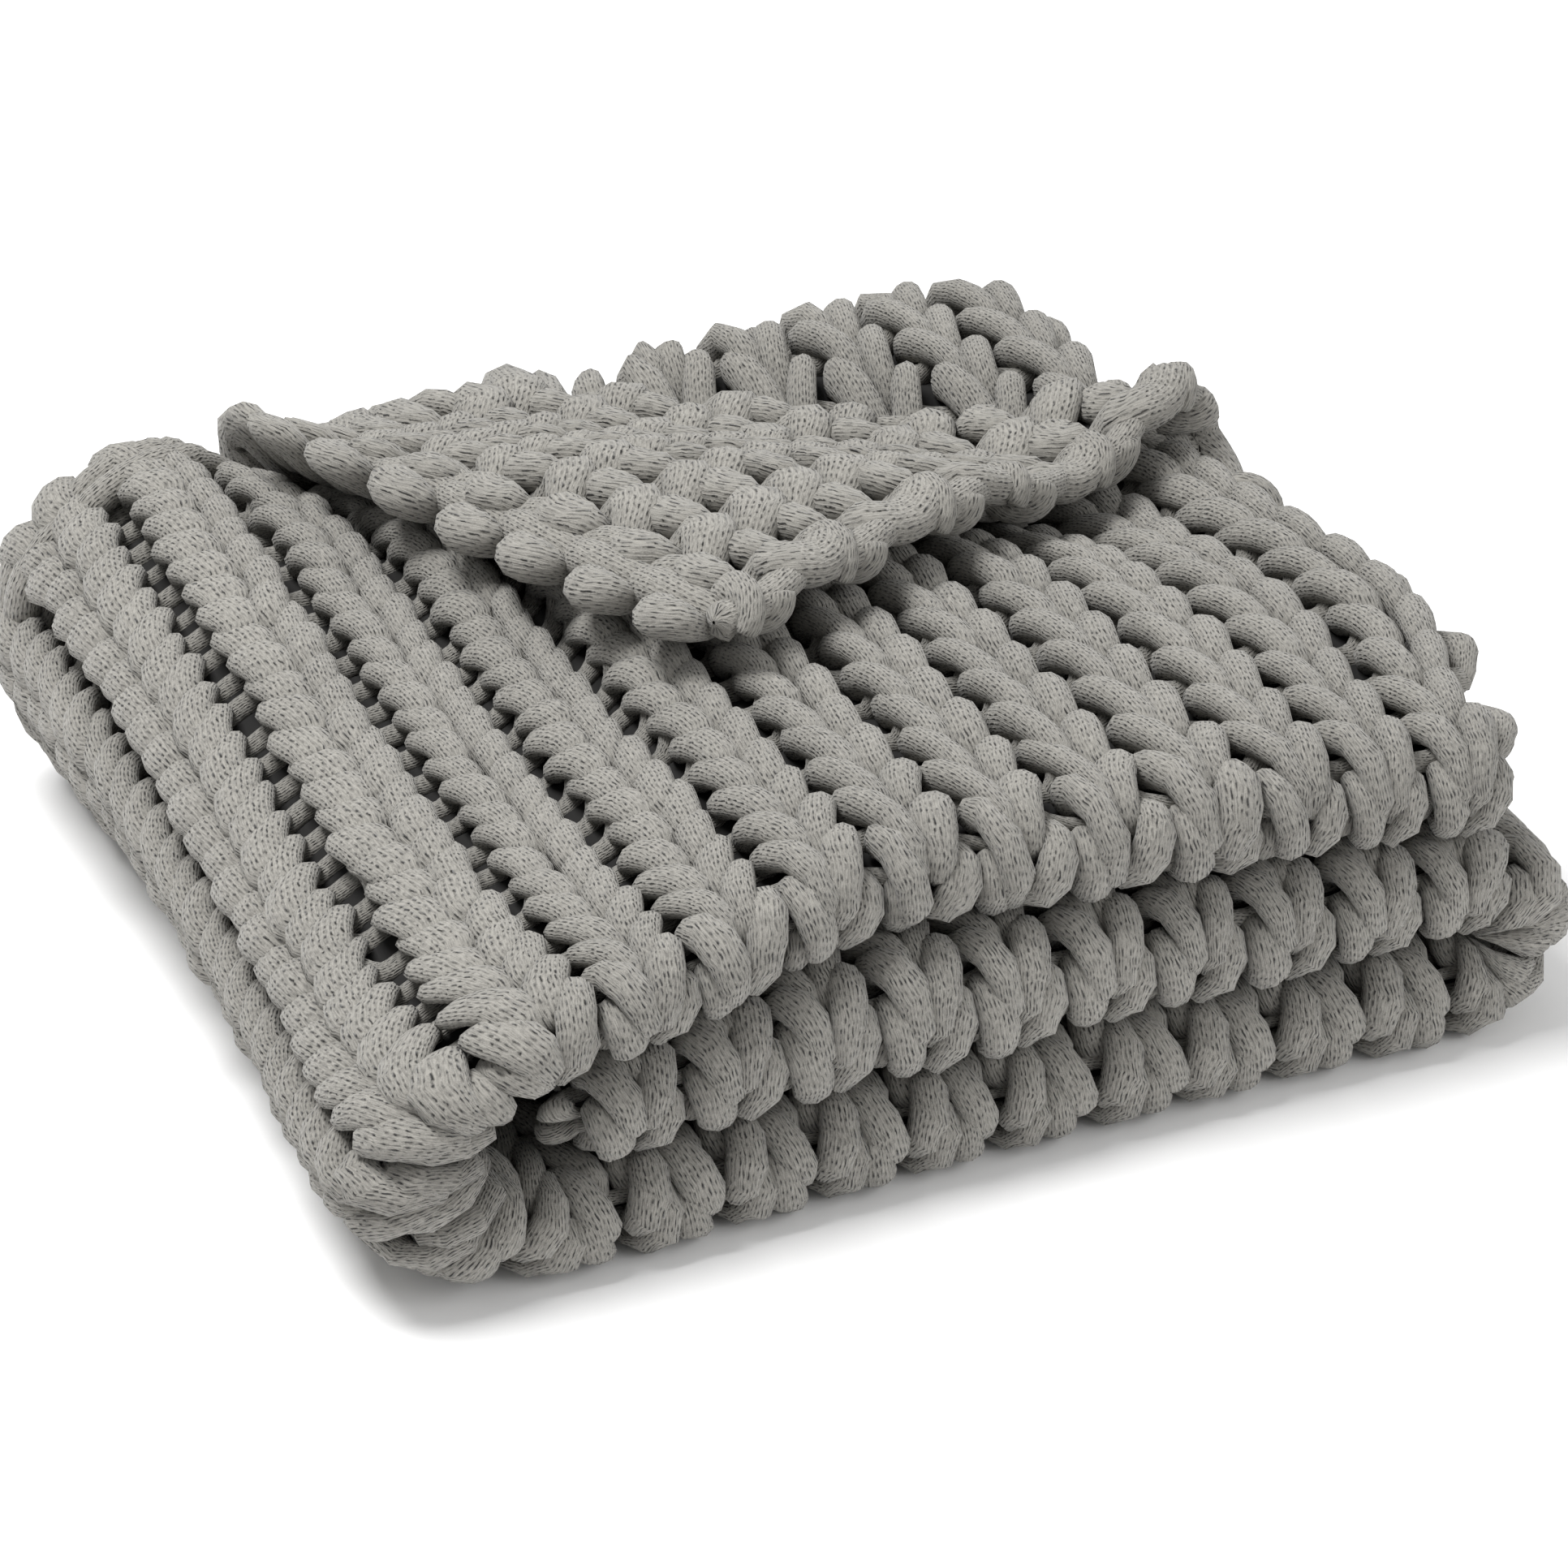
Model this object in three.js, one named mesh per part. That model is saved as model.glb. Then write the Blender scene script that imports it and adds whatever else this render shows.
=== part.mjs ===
// Folded chunky knit throw: one thick sheet, doubled with its fold at the front,
// then wrapped in three along its length, with one back corner turned over on top.
// Millimetres, +Z up, front of the stack toward -Y, underside on Z = 0.
import * as THREE from "three";

const throwColour = 0x87857f;

// The knitted sheet and the stack it is folded into
const leafThickness = 26.5;
const leafPitch = 28.5;
const stackLength = 580;
const stackDepth = 528;
const stackMiddle = { x: 282.26, y: 280.12 };
const topPanelEnd = 548;
const innerEndGap = 10;

// Where the corner of the top leaf turns over, and how tightly
const crease = { x: 548, y: 300, angleDeg: 147.5, radius: 16.5 };
const cornerReach = 683;
const cornerSlant = 0.13;

// The turned-over corner also bends down behind the stack
const backBend = { y: 488, radius: 26, from: 84, to: 150 };
const shortBack = { y: 484, from: 230, to: 300 };
const cornerTaper = { from: 140, to: 255 };
const edgeOverhang = 4;

// Height of each leaf of the three bands along the front, where the stack is packed or loose
const bandHeights = [
  { x: 0, low: 25, mid: 23, top: 25 },
  { x: 110, low: 25, mid: 25.5, top: 25 },
  { x: 250, low: 25.5, mid: 31, top: 26.5 },
  { x: 380, low: 25.5, mid: 29, top: 27.5 },
  { x: 580, low: 25, mid: 25, top: 28 },
];

// How far the front fold of each band stands back from the foremost line
const frontSetbacks = [
  { x: 0, low: 0, mid: 0, top: 0 },
  { x: 90, low: 0, mid: 6, top: 4 },
  { x: 250, low: 3, mid: 2, top: 17 },
  { x: 400, low: 2, mid: 4, top: 9 },
  { x: 580, low: 4, mid: 6, top: 3 },
];

// Waver of the free end of the top panel, toward +X
const endWaver = [
  { y: 0, shift: -15 },
  { y: 60, shift: -8 },
  { y: 140, shift: 5 },
  { y: 260, shift: 0 },
  { y: 330, shift: 0 },
  { y: 480, shift: 2 },
  { y: 640, shift: 0 },
];

// Waver grows from this X to the free end
const waverStart = 400;

// Sag of the front left corner: share of the height, and the X and Y between which it fades
const sag = { share: 0.17, fromX: 10, toX: 230, fromY: 40, toY: 360 };

// Swell of the loose parts of the top: its height, and the X and Y over which it grows or fades
const frontSwell = { height: 13, fromX: 60, toX: 300, fromY: 10, toY: 190 };
const backSwell = { height: 10, fromY: 200, toY: 500 };
const backRightSwell = { height: 2, fromX: 200, toX: 540 };
const backLeftSwell = { height: 16, fromX: 90, toX: 230, fromY: 230, toY: 480 };

// How far the round left side leans out at the front and at the back
const wrapLean = { front: -16, frontEnd: 260, back: -3, backStart: 300, backEnd: 520 };

// The stack is pressed down along the crease, measured outward from the crease line
const crestDip = { depth: 38, from: -150, full: -15, rise: 25, level: 80 };
const crestDipEnds = { left: 78, leftFull: 180, rightFull: 430, right: 545 };

// The inner leaf of the top panel curls up at the back of the stack, further back at the right
const backTuck = { extra: 18, from: 380, to: 520 };
const curlStart = 60;
const creaseClearance = 4;

// Facets along the strip, run by run, and the shortest lengths left between bends of a column
const runFacets = [24, 12, 8, 10, 8];
const shortest = { corner: 25, beforeCorner: 40, hang: 42, beforeHang: 60, curl: 6, beforeCurl: 12 };

const foldRadius = leafPitch / 2;
const halfThickness = leafThickness / 2;
const quarterFold = (Math.PI * foldRadius) / 2;
const zLow = halfThickness + foldRadius;
const zMid = zLow + 2 * leafPitch;
const zTop = zLow + 4 * leafPitch;
const stackTop = 6 * leafPitch;
const leftRadius = (zTop - zLow) / 2;
const rightRadius = (zMid - zLow) / 2;
const leftX = leftRadius + foldRadius + halfThickness;
const rightX = stackLength - (rightRadius + foldRadius + halfThickness);
const creaseAngle = THREE.MathUtils.degToRad(crease.angleDeg);
const outX = Math.sin(creaseAngle);
const outY = -Math.cos(creaseAngle);

// The centre line of the doubled strip, from the free end of the top panel to the hidden end
const strip = [
  { line: true, from: topPanelEnd, to: leftX, z: zTop },
  { line: false, x: leftX, z: (zTop + zLow) / 2, radius: leftRadius, start: Math.PI / 2 },
  { line: true, from: leftX, to: rightX, z: zLow },
  { line: false, x: rightX, z: (zLow + zMid) / 2, radius: rightRadius, start: -Math.PI / 2 },
  { line: true, from: rightX, to: leftX + innerEndGap, z: zMid },
];
const stripStarts = [0];
for (const run of strip) {
  const length = run.line ? Math.abs(run.to - run.from) : Math.PI * run.radius;
  stripStarts.push(stripStarts[stripStarts.length - 1] + length);
}

function ease(a, b, x) {
  const t = THREE.MathUtils.clamp((x - a) / (b - a), 0, 1);
  return t * t * (3 - 2 * t);
}

function readTable(rows, along, at, key) {
  if (at <= rows[0][along]) return rows[0][key];
  for (let i = 1; i < rows.length; i += 1) {
    const a = rows[i - 1];
    const b = rows[i];
    if (at <= b[along]) return a[key] + (b[key] - a[key]) * ease(a[along], b[along], at);
  }
  return rows[rows.length - 1][key];
}

function stripCentre(u) {
  let i = 0;
  while (i < strip.length - 1 && u > stripStarts[i + 1] + 1e-9) i += 1;
  const run = strip[i];
  const s = u - stripStarts[i];
  if (run.line) {
    const way = Math.sign(run.to - run.from);
    return { x: run.from + way * s, z: run.z, nx: 0, nz: -way, run: i };
  }
  const a = run.start + s / run.radius;
  const nx = Math.cos(a);
  const nz = Math.sin(a);
  return { x: run.x + run.radius * nx, z: run.z + run.radius * nz, nx, nz, run: i };
}

function setback(c, u) {
  const toLow = THREE.MathUtils.clamp((u - stripStarts[1]) / (stripStarts[2] - stripStarts[1]), 0, 1);
  const toMid = THREE.MathUtils.clamp((u - stripStarts[3]) / (stripStarts[4] - stripStarts[3]), 0, 1);
  const read = (key) => readTable(frontSetbacks, "x", c.x, key);
  return toLow * (1 - toMid) * read("low") + toMid * read("mid") + (1 - toLow) * read("top");
}

function creaseY(x) {
  return crease.y - ((x - crease.x) * outX) / outY;
}

function tuckY(x) {
  return stackDepth - foldRadius - halfThickness + backTuck.extra * ease(backTuck.from, backTuck.to, x);
}

// Where the leaves under the turned-over corner stop short of the back
function backOf(x) {
  return shortBack.y + (stackDepth - shortBack.y) * ease(shortBack.from, shortBack.to, x);
}

// How far the outer and the inner leaf reach from the front fold
function leafReach(u) {
  const c = stripCentre(u);
  const front = foldRadius + halfThickness + setback(c, u);
  let outer = stackDepth + edgeOverhang;
  let inner = stackDepth;
  if (c.run === 0) {
    const corner = cornerReach - cornerSlant * (crease.x - c.x);
    outer += (corner - outer) * ease(cornerTaper.from, cornerTaper.to, c.x);
    inner = backOf(c.x);
  }
  if (c.run === 1) {
    inner = shortBack.y + (stackDepth - shortBack.y) * ease(stripStarts[1], stripStarts[2], u);
  }
  if (c.run === 4) {
    inner = backOf(c.x);
    outer = inner;
  }
  outer += quarterFold - front;
  inner += quarterFold - front;
  if (c.run === 0) {
    const tuck = tuckY(c.x);
    const end = creaseY(c.x) + (crease.radius + halfThickness + creaseClearance) / outY;
    const curl = Math.PI * foldRadius * ease(-curlStart, 0, tuck - end);
    const over = quarterFold + tuck - front + curl + Math.max(0, tuck - end);
    inner = Math.max(inner, over);
  }
  return { outer, inner };
}

function sideShift(x, y) {
  return readTable(endWaver, "y", y, "shift") * ease(waverStart, topPanelEnd, x);
}

// Turns what lies beyond the crease up and over onto the leaf
function turnCorner(x, y, w) {
  const d = (x - crease.x) * outX + (y - crease.y) * outY;
  const r = crease.radius;
  if (d <= 0) return { x, y, h: w };
  let back = -(d - Math.PI * r);
  let h = 2 * r - w;
  if (d < Math.PI * r) {
    back = (r - w) * Math.sin(d / r);
    h = r - (r - w) * Math.cos(d / r);
  }
  return { x: x + (back - d) * outX, y: y + (back - d) * outY, h };
}

// Bends what lies beyond the back of the stack down behind it
function hangBehind(x, y, h) {
  const s = y - backBend.y;
  if (s <= 0) return { y, h };
  const r = backBend.radius;
  const most = (Math.PI / 2) * ease(backBend.from, backBend.to, x);
  const a = Math.min(s / r, most);
  const rest = s - r * a;
  return {
    y: backBend.y + (r + h) * Math.sin(a) + rest * Math.cos(a),
    h: (r + h) * Math.cos(a) - r - rest * Math.sin(a),
  };
}

// Packs the even stack to the uneven heights of the real one
function settle(x, y, z) {
  const share = (key) => readTable(bandHeights, "x", x, key) / leafPitch;
  const band = 2 * leafPitch;
  let height = Math.min(z, band) * share("low");
  height += THREE.MathUtils.clamp(z - band, 0, band) * share("mid");
  height += Math.max(z - 2 * band, 0) * share("top");
  const overX = (range) => ease(range.fromX, range.toX, x);
  const overY = (range) => ease(range.fromY, range.toY, y);
  height *= 1 - sag.share * (1 - overX(sag)) * (1 - overY(sag));
  const up = Math.min(1, z / stackTop);
  const back = backSwell.height + backRightSwell.height * overX(backRightSwell);
  height += up * frontSwell.height * overX(frontSwell) * overY(frontSwell);
  height += up * back * overY(backSwell);
  height += up * backLeftSwell.height * (1 - overX(backLeftSwell)) * overY(backLeftSwell);
  const beyond = (x - crease.x) * outX + (y - crease.y) * outY;
  const sinks = ease(crestDip.from, crestDip.full, beyond);
  const pressed = sinks * (1 - ease(crestDip.rise, crestDip.level, beyond));
  const ends = crestDipEnds;
  const along = ease(ends.left, ends.leftFull, x) * (1 - ease(ends.rightFull, ends.right, x));
  height -= up * crestDip.depth * pressed * along;
  let lean = 0;
  if (x < leftX) {
    const far = (leftX - x) / leftX;
    lean = wrapLean.front * far * (1 - ease(0, wrapLean.frontEnd, y));
    lean += wrapLean.back * far * ease(wrapLean.backStart, wrapLean.backEnd, y);
  }
  return new THREE.Vector3(x + lean - stackMiddle.x, y - stackMiddle.y, height);
}

// A point of the sheet: u along the strip, v from the front fold (outer leaf negative), w outward
function sheetPoint(u, v, w) {
  const c = stripCentre(u);
  const front = foldRadius + halfThickness + setback(c, u);
  const onTop = c.run === 0;
  let n = foldRadius + w;
  let y = front + Math.abs(v) - quarterFold;
  if (Math.abs(v) <= quarterFold) {
    const a = v / foldRadius;
    n = -(foldRadius + w) * Math.sin(a);
    y = front - (foldRadius + w) * Math.cos(a);
  } else if (v < 0 && onTop) {
    const turned = turnCorner(c.x + sideShift(c.x, y), y, w);
    const hung = hangBehind(turned.x, turned.y, turned.h);
    return settle(turned.x, hung.y, c.z + foldRadius + hung.h);
  } else if (v > 0) {
    n = -foldRadius - w;
    const s = y - tuckY(c.x);
    if (onTop && s > 0) {
      const a = Math.min(s / foldRadius, Math.PI);
      n = -(foldRadius + w) * Math.cos(a);
      y = tuckY(c.x) + (foldRadius + w) * Math.sin(a) - Math.max(0, s - Math.PI * foldRadius);
    }
  }
  const shift = onTop ? sideShift(c.x, y) : 0;
  return settle(c.x + c.nx * n + shift, y, c.z + c.nz * n);
}

function spread(from, to, steps) {
  return Array.from({ length: steps }, (_, i) => from + ((to - from) * (i + 1)) / steps);
}

// Rows of one column of the sheet, closer together where the sheet bends
function rowsAt(u) {
  const c = stripCentre(u);
  const reach = leafReach(u);
  const front = foldRadius + halfThickness + setback(c, u);
  const toV = (y) => y - front + quarterFold;
  const rows = [];
  if (c.run === 0) {
    const edge = reach.outer;
    const turn = Math.min(toV(creaseY(c.x)), edge - shortest.beforeCorner);
    const turned = Math.min(turn + (Math.PI * crease.radius) / outY, edge - shortest.corner);
    const bend = Math.min(toV(backBend.y), turn - shortest.beforeHang);
    const flat = spread(quarterFold, bend, 4);
    const hang = spread(bend, bend + shortest.hang, 4);
    const under = spread(bend + shortest.hang, turn, 2);
    const fold = spread(turn, turned, 7);
    const flap = spread(turned, edge, 11);
    rows.push(...[...flat, ...hang, ...under, ...fold, ...flap].reverse().map((v) => -v));
  } else {
    rows.push(...spread(quarterFold, reach.outer, 3).reverse().map((v) => -v));
  }
  rows.push(-quarterFold, ...spread(-quarterFold, quarterFold, 6));
  if (c.run === 0) {
    const lie = Math.min(toV(tuckY(c.x)), reach.inner - shortest.beforeCurl);
    const curl = Math.min(lie + Math.PI * foldRadius, reach.inner - shortest.curl);
    rows.push(...spread(quarterFold, lie, 3), ...spread(lie, curl, 6), ...spread(curl, reach.inner, 2));
  } else {
    rows.push(...spread(quarterFold, reach.inner, 3));
  }
  return rows;
}

function columnPlaces() {
  const places = [0];
  runFacets.forEach((count, i) => {
    places.push(...spread(stripStarts[i], stripStarts[i + 1], count));
  });
  return places;
}

// Joins two neighbouring columns, row by row, or by their share of the reach where rows differ
function joinColumns(a, b, rowByRow, faces) {
  let i = 0;
  let j = 0;
  const place = (column, k) => {
    if (k >= column.ids.length) return Infinity;
    return rowByRow ? k : column.share[k];
  };
  while (i < a.ids.length - 1 || j < b.ids.length - 1) {
    if (place(a, i + 1) <= place(b, j + 1)) {
      faces.push([a.ids[i], b.ids[j], a.ids[i + 1]]);
      i += 1;
    } else {
      faces.push([a.ids[i], b.ids[j], b.ids[j + 1]]);
      j += 1;
    }
  }
}

function buildThrow() {
  const sheet = [];
  const columns = columnPlaces().map((u) => {
    const rows = rowsAt(u);
    const reach = leafReach(u);
    const ids = rows.map((v) => sheet.push({ u, v }) - 1);
    const share = rows.map((v) => v / (v < 0 ? reach.outer : reach.inner));
    return { ids, share };
  });
  const faces = [];
  for (let k = 0; k + 1 < columns.length; k += 1) {
    const a = columns[k];
    const b = columns[k + 1];
    joinColumns(a, b, a.ids.length === b.ids.length, faces);
  }
  const count = sheet.length;
  const positions = new Float32Array(count * 6);
  sheet.forEach((p, i) => {
    sheetPoint(p.u, p.v, halfThickness).toArray(positions, i * 3);
    sheetPoint(p.u, p.v, -halfThickness).toArray(positions, (count + i) * 3);
  });
  const index = [];
  for (const [a, b, c] of faces) index.push(a, b, c, count + a, count + c, count + b);
  const firstColumn = columns[0].ids;
  const lastColumn = columns[columns.length - 1].ids;
  const rim = [
    ...firstColumn,
    ...columns.slice(1, -1).map((col) => col.ids[col.ids.length - 1]),
    ...[...lastColumn].reverse(),
    ...columns.slice(1, -1).map((col) => col.ids[0]).reverse(),
  ];
  rim.forEach((a, i) => {
    const b = rim[(i + 1) % rim.length];
    index.push(a, b, count + a, b, count + b, count + a);
  });
  const geometry = new THREE.BufferGeometry();
  geometry.setAttribute("position", new THREE.BufferAttribute(positions, 3));
  geometry.setIndex(index);
  geometry.computeVertexNormals();
  return geometry;
}

const group = new THREE.Group();
const cloth = new THREE.MeshStandardMaterial({ color: throwColour, roughness: 0.95, metalness: 0 });
const mesh = new THREE.Mesh(buildThrow(), cloth);
mesh.name = "throw";
group.add(mesh);

export default group;
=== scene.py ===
# Chunky knit throw, folded: every stitch is a swept cord carried round the folds of the sheet.
import math

import bpy
import numpy as np
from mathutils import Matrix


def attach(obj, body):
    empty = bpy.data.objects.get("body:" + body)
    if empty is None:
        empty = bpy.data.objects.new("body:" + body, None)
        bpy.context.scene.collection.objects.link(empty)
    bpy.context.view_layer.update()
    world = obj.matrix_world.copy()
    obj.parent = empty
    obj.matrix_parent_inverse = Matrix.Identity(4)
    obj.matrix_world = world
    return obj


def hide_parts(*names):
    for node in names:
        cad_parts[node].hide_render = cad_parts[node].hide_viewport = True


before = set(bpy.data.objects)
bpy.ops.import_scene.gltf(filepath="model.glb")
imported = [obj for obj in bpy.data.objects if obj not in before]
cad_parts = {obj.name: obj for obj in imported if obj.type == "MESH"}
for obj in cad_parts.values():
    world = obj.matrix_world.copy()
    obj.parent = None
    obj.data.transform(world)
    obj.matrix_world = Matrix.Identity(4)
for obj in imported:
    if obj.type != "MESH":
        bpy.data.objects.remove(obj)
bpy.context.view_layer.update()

# Camera, in the frame of the part
view = dict(azimuth=-25.5, elevation=28, lens=112, distance=2.2768, aim=(0.0177, -0.0181, 0.062),
            near=0.05, far=50)


def makeCamera(s):
    a, e = math.radians(s["azimuth"]), math.radians(s["elevation"])
    back = np.array([math.sin(a) * math.cos(e), -math.cos(a) * math.cos(e), math.sin(e)])
    data = bpy.data.cameras.new("camera")
    data.lens = s["lens"]
    data.clip_start = s["near"]
    data.clip_end = s["far"]
    cam = bpy.data.objects.new("camera", data)
    cam.location = np.array(s["aim"]) + back * s["distance"]
    cam.rotation_euler = (math.radians(90) - e, 0, a)
    bpy.context.collection.objects.link(cam)
    bpy.context.scene.camera = cam


makeCamera(view)
print("camera")

# The folded sheet in millimetres, as the solid is built: three bands of two leaves each
fold = dict(thick=26.5, pitch=28.5, layers=6, length=580, depth=528, middle=(282.26, 280.12),
            panelEnd=548, endGap=10, reach=683, slant=0.13, taper=(140, 255), overhang=4)
crease = dict(x=548, y=300, angle=147.5, radius=16.5, clearance=4, curlStart=60)
backBend = dict(y=488, radius=26, ends=(84, 150))
backTuck = dict(extra=18, ends=(380, 520))
shortBack = dict(y=484, ends=(230, 300))
bands = dict(x=(0, 110, 250, 380, 580), low=(25, 25, 25.5, 25.5, 25),
             mid=(23, 25.5, 31, 29, 25), top=(25, 25, 26.5, 27.5, 28))
setbacks = dict(x=(0, 90, 250, 400, 580), low=(0, 0, 3, 2, 4), mid=(0, 6, 2, 4, 6),
                top=(0, 4, 17, 9, 3))
waver = dict(start=400, y=(0, 60, 140, 260, 330, 480, 640), shift=(-15, -8, 5, 0, 0, 2, 0))
sag = dict(share=0.17, x=(10, 230), y=(40, 360))
frontSwell = dict(height=13, x=(60, 300), y=(10, 190))
backSwell = dict(height=10, y=(200, 500), right=2, rightX=(200, 540))
leftSwell = dict(height=16, x=(90, 230), y=(230, 480))
lean = dict(front=-16, frontEnd=260, back=-3, backEnds=(300, 520))
crestDip = dict(depth=38, sinks=(-150, -15), rises=(25, 80), left=(78, 180), right=(430, 545))

radius = fold["pitch"] / 2  # of the front fold, at the middle of the sheet
half = fold["thick"] / 2
quarter = math.pi * radius / 2
zLow = half + radius
zMid = zLow + 2 * fold["pitch"]
zTop = zLow + 4 * fold["pitch"]
leftRadius, rightRadius = (zTop - zLow) / 2, (zMid - zLow) / 2
leftX = leftRadius + radius + half
rightX = fold["length"] - (rightRadius + radius + half)
outX = math.sin(math.radians(crease["angle"]))
outY = -math.cos(math.radians(crease["angle"]))

# The strip from the free end of the top band, round the left side, back below and into the middle
runs = (
    dict(start=fold["panelEnd"], end=leftX, z=zTop),
    dict(x=leftX, z=(zTop + zLow) / 2, radius=leftRadius, angle=math.pi / 2),
    dict(start=leftX, end=rightX, z=zLow),
    dict(x=rightX, z=(zLow + zMid) / 2, radius=rightRadius, angle=-math.pi / 2),
    dict(start=rightX, end=leftX + fold["endGap"], z=zMid),
)
runLengths = [abs(r["end"] - r["start"]) if "end" in r else math.pi * r["radius"] for r in runs]
starts = np.concatenate([[0], np.cumsum(runLengths)])
stripLength = starts[-1]


def ease(a, b, x):
    t = np.clip((x - a) / (b - a), 0, 1)
    return t * t * (3 - 2 * t)


def readTable(places, values, at):
    out = np.full(np.shape(at), float(values[0]))
    for a, b, va, vb in zip(places, places[1:], values, values[1:]):
        out = np.where(at > a, va + (vb - va) * ease(a, b, at), out)
    return out


# Middle of the strip at u, seen from the front, with the way that faces out and the run's number
def stripCentre(u):
    run = np.clip(np.searchsorted(starts, u, side="left") - 1, 0, len(runs) - 1)
    x, z, nx, nz = (np.zeros_like(u) for _ in range(4))
    for i, r in enumerate(runs):
        here = run == i
        gone = u[here] - starts[i]
        if "end" in r:
            way = math.copysign(1, r["end"] - r["start"])
            x[here], z[here], nz[here] = r["start"] + way * gone, r["z"], -way
        else:
            a = r["angle"] + gone / r["radius"]
            nx[here], nz[here] = np.cos(a), np.sin(a)
            x[here] = r["x"] + r["radius"] * np.cos(a)
            z[here] = r["z"] + r["radius"] * np.sin(a)
    return x, z, nx, nz, run


# How far the front fold stands back
def setback(x, u):
    toLow = np.clip((u - starts[1]) / (starts[2] - starts[1]), 0, 1)
    toMid = np.clip((u - starts[3]) / (starts[4] - starts[3]), 0, 1)
    low, mid, top = (readTable(setbacks["x"], setbacks[k], x) for k in ("low", "mid", "top"))
    return toLow * (1 - toMid) * low + toMid * mid + (1 - toLow) * top


def creaseY(x):
    return crease["y"] - (x - crease["x"]) * outX / outY


def tuckY(x):
    return fold["depth"] - radius - half + backTuck["extra"] * ease(*backTuck["ends"], x)


def backOf(x):
    return shortBack["y"] + (fold["depth"] - shortBack["y"]) * ease(*shortBack["ends"], x)


# Lengths of the outer and the inner leaf from the front fold to their back edges
def leafReach(u):
    x, _, _, _, run = stripCentre(u)
    front = radius + half + setback(x, u)
    corner = fold["reach"] - fold["slant"] * (crease["x"] - x)
    edge = fold["depth"] + fold["overhang"]
    outer = np.where(run == 0, edge + (corner - edge) * ease(*fold["taper"], x), edge)
    inner = np.full_like(u, float(fold["depth"]))
    inner = np.where((run == 0) | (run == 4), backOf(x), inner)
    wrap = shortBack["y"] + (fold["depth"] - shortBack["y"]) * ease(starts[1], starts[2], u)
    inner = np.where(run == 1, wrap, inner)
    outer = np.where(run == 4, inner, outer) + quarter - front
    inner = inner + quarter - front
    tuck = tuckY(x)
    end = creaseY(x) + (crease["radius"] + half + crease["clearance"]) / outY
    curl = math.pi * radius * ease(-crease["curlStart"], 0, tuck - end)
    over = quarter + tuck - front + curl + np.maximum(0, tuck - end)
    return outer, np.where(run == 0, np.maximum(inner, over), inner)


def sideShift(x, y):
    return readTable(waver["y"], waver["shift"], y) * ease(waver["start"], fold["panelEnd"], x)


# Turns what lies past the crease over onto the stack
def turnCorner(x, y, w):
    d = (x - crease["x"]) * outX + (y - crease["y"]) * outY
    r = crease["radius"]
    a = np.clip(d / r, 0, math.pi)
    back = (r - w) * np.sin(a) - np.maximum(0, d - math.pi * r)
    h = r - (r - w) * np.cos(a)
    past = d > 0
    return (np.where(past, x + (back - d) * outX, x), np.where(past, y + (back - d) * outY, y),
            np.where(past, h, w))


# Lets the back edge of the outer leaf hang down at the left
def hangBehind(x, y, h):
    r = backBend["radius"]
    gone = np.maximum(0, y - backBend["y"])
    a = np.minimum(gone / r, math.pi / 2 * ease(*backBend["ends"], x))
    rest = gone - r * a
    hungY = backBend["y"] + (r + h) * np.sin(a) + rest * np.cos(a)
    hungH = (r + h) * np.cos(a) - r - rest * np.sin(a)
    return np.where(gone > 0, hungY, y), np.where(gone > 0, hungH, h)


# Settles the even stack into its uneven heights, and moves it to the middle of the frame
def settle(x, y, z):
    band = 2 * fold["pitch"]
    low, mid, top = (readTable(bands["x"], bands[k], x) / fold["pitch"] for k in ("low", "mid", "top"))
    height = np.minimum(z, band) * low + np.clip(z - band, 0, band) * mid
    height = height + np.maximum(z - 2 * band, 0) * top
    height = height * (1 - sag["share"] * (1 - ease(*sag["x"], x)) * (1 - ease(*sag["y"], y)))
    up = np.minimum(1, z / (fold["layers"] * fold["pitch"]))
    rise = frontSwell["height"] * ease(*frontSwell["y"], y) * ease(*frontSwell["x"], x)
    behind = backSwell["height"] + backSwell["right"] * ease(*backSwell["rightX"], x)
    rise = rise + behind * ease(*backSwell["y"], y)
    rise = rise + leftSwell["height"] * (1 - ease(*leftSwell["x"], x)) * ease(*leftSwell["y"], y)
    beyond = (x - crease["x"]) * outX + (y - crease["y"]) * outY
    pressed = ease(*crestDip["sinks"], beyond) * (1 - ease(*crestDip["rises"], beyond))
    along = ease(*crestDip["left"], x) * (1 - ease(*crestDip["right"], x))
    height = height + up * (rise - crestDip["depth"] * pressed * along)
    far = np.maximum(0, (leftX - x) / leftX)
    sway = lean["front"] * (1 - ease(0, lean["frontEnd"], y)) + lean["back"] * ease(*lean["backEnds"], y)
    return np.stack([x + sway * far - fold["middle"][0], y - fold["middle"][1], height], -1)


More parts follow.
